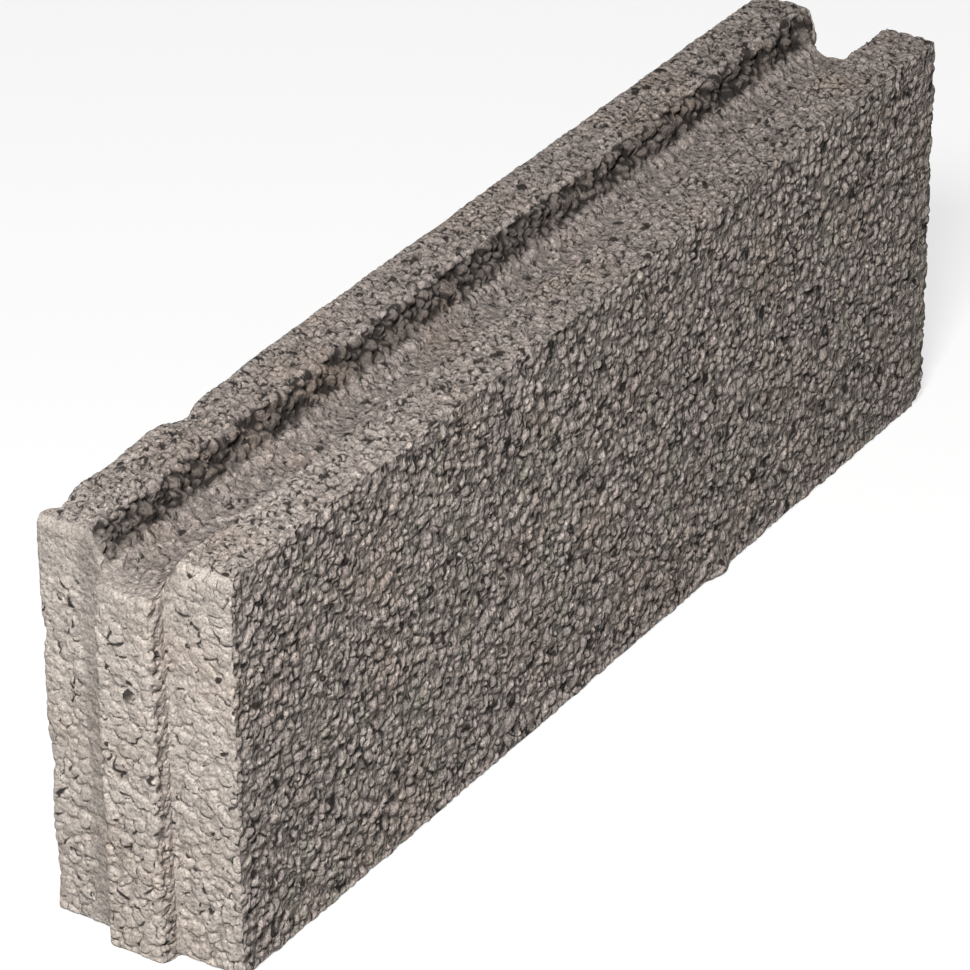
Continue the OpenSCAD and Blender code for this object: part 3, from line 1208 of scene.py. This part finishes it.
class CONCRETE_OT_ends(bpy.types.Operator):
    """Builds the tongue end and the groove end"""
    bl_idname = "concrete.ends"
    bl_label = "Ends"

    def execute(self, context):
        planes = slice_planes()
        for name, line, cut, step in (
            ("tongue_end", tongue_line(), planes[0], NEAR_STEP),
            ("groove_end", groove_line(), planes[-1], FAR_STEP),
        ):
            skin_piece(name, *end_arrays(line, cut, step))
        return {"FINISHED"}


# Camera: where it stands in the block's frame, how it is turned, its sensor and how far it sees
CAMERA_PLACE = (-1.7962, -1.1584, 1.3478)
CAMERA_AZIMUTH = 56.73
CAMERA_DIP = 30.65
CAMERA_ROLL = -0.43
SENSOR = 36.0
CLIP_END = 100.0
# Lamp: where it stands, and its width
KEY_PLACE = (-1.47, -0.69, 1.73)
KEY_SIZE = 0.45
# Floor: half its width, what it throws back, and its share of light of its own to the camera
FLOOR_HALF = 12.0
FLOOR_BOUNCE = 0.30
FLOOR_GLOW = 0.75
WHITE = (1.0, 1.0, 1.0, 1.0)


class CONCRETE_OT_stage(bpy.types.Operator):
    """Lays the floor and sets the light and the camera"""
    bl_idname = "concrete.stage"
    bl_label = "Stage"

    def execute(self, context):
        scene = context.scene
        scene.view_settings.view_transform = "Standard"
        self.floor(scene)
        self.light(scene)
        self.camera(scene)
        return {"FINISHED"}

    def floor(self, scene):
        """A wide flat grid at the bed's height: pale to the camera, duller to other rays."""
        side = np.array([-FLOOR_HALF, 0.0, FLOOR_HALF])
        x, y = np.meshgrid(side, side, indexing="ij")
        points = np.stack([x, y, np.zeros_like(x)], -1).reshape(-1, 3)
        quads = grid_faces(np.arange(x.size).reshape(x.shape))
        mesh = bpy.data.meshes.new("floor")
        mesh.from_pydata(points.tolist(), [], quads.tolist())
        n = Nodes("floor_paint")
        to_camera = n.add("ShaderNodeLightPath").outputs["Is Camera Ray"]
        pale = opaque(np.array(scene.block_stage.floor) * (1.0 - FLOOR_GLOW))
        dull = opaque((FLOOR_BOUNCE,) * 3)
        n.join(n.mix(to_camera, dull, pale), "Base Color")
        n.shader.inputs["Emission Color"].default_value = WHITE
        n.join(n.by(to_camera, 0.0, FLOOR_GLOW), "Emission Strength")
        n.shader.inputs["Roughness"].default_value = 1.0
        n.shader.inputs["Specular IOR Level"].default_value = 0.0
        mesh.materials.append(n.material)
        floor = bpy.data.objects.new("floor", mesh)
        scene.collection.objects.link(floor)

    def light(self, scene):
        """An even pale world, and one soft lamp high on the tongue end's side."""
        world = bpy.data.worlds.new("studio")
        world.use_nodes = True
        scene.world = world
        tree = world.node_tree
        sky = tree.nodes["Background"]
        sky.inputs["Color"].default_value = WHITE
        rays = tree.nodes.new("ShaderNodeLightPath")
        strength = tree.nodes.new("ShaderNodeMapRange")
        strength.inputs["To Min"].default_value = scene.block_stage.fill
        strength.inputs["To Max"].default_value = 1.0
        tree.links.new(rays.outputs["Is Camera Ray"], strength.inputs["Value"])
        tree.links.new(strength.outputs["Result"], sky.inputs["Strength"])
        lamp = bpy.data.lights.new("key", "AREA")
        lamp.energy = scene.block_stage.key_power
        lamp.size = KEY_SIZE
        key = bpy.data.objects.new("key", lamp)
        place = Vector(KEY_PLACE)
        aim = Vector((0.0, 0.0, 0.5 * TOP)) - place
        turn = aim.to_track_quat("-Z", "Y").to_matrix().to_4x4()
        key.matrix_world = Matrix.Translation(place) @ turn
        scene.collection.objects.link(key)

    def camera(self, scene):
        """A long lens at the fitted place; azimuth turns from +Y towards +X."""
        lens = bpy.data.cameras.new("camera")
        lens.lens = scene.block_stage.lens
        lens.sensor_width = SENSOR
        lens.clip_end = CLIP_END
        camera = bpy.data.objects.new("camera", lens)
        turn = Matrix.Rotation(math.radians(-CAMERA_AZIMUTH), 4, "Z")
        dip = Matrix.Rotation(math.radians(90.0 - CAMERA_DIP), 4, "X")
        roll = Matrix.Rotation(math.radians(CAMERA_ROLL), 4, "Z")
        camera.matrix_world = Matrix.Translation(Vector(CAMERA_PLACE)) @ turn @ dip @ roll
        scene.collection.objects.link(camera)
        scene.camera = camera


class CONCRETE_PT_panel(bpy.types.Panel):
    """Lists the block's pieces and the values that change them"""
    bl_idname = "CONCRETE_PT_panel"
    bl_label = "Concrete Block"
    bl_space_type = "VIEW_3D"
    bl_region_type = "UI"
    bl_category = "Concrete Block"

    def draw(self, context):
        for operator in OPERATORS:
            self.layout.operator(operator.bl_idname)
        for label in PROPERTIES:
            group = getattr(context.scene, label)
            box = self.layout.box()
            for key in group.bl_rna.properties.keys():
                if key not in ("rna_type", "name"):
                    box.prop(group, key)


PROPERTIES = {
    "block_shape": BlockShape,
    "block_pebbles": PebbleSizes,
    "block_colours": ConcreteColours,
    "block_stage": StageLook,
}
OPERATORS = (CONCRETE_OT_slices, CONCRETE_OT_ends, CONCRETE_OT_stage)


def register():
    """Adds the classes, and the property groups to the scene."""
    for group in PROPERTIES.values():
        bpy.utils.register_class(group)
    for label, group in PROPERTIES.items():
        setattr(bpy.types.Scene, label, bpy.props.PointerProperty(type=group))
    for operator in OPERATORS:
        bpy.utils.register_class(operator)
    bpy.utils.register_class(CONCRETE_PT_panel)


def unregister():
    """Takes the panel, operators and property groups away again."""
    bpy.utils.unregister_class(CONCRETE_PT_panel)
    for operator in reversed(OPERATORS):
        bpy.utils.unregister_class(operator)
    for label, group in PROPERTIES.items():
        delattr(bpy.types.Scene, label)
        bpy.utils.unregister_class(group)


def main():
    register()
    bpy.ops.concrete.slices()
    bpy.ops.concrete.ends()
    bpy.ops.concrete.stage()


if __name__ == "__main__":
    main()
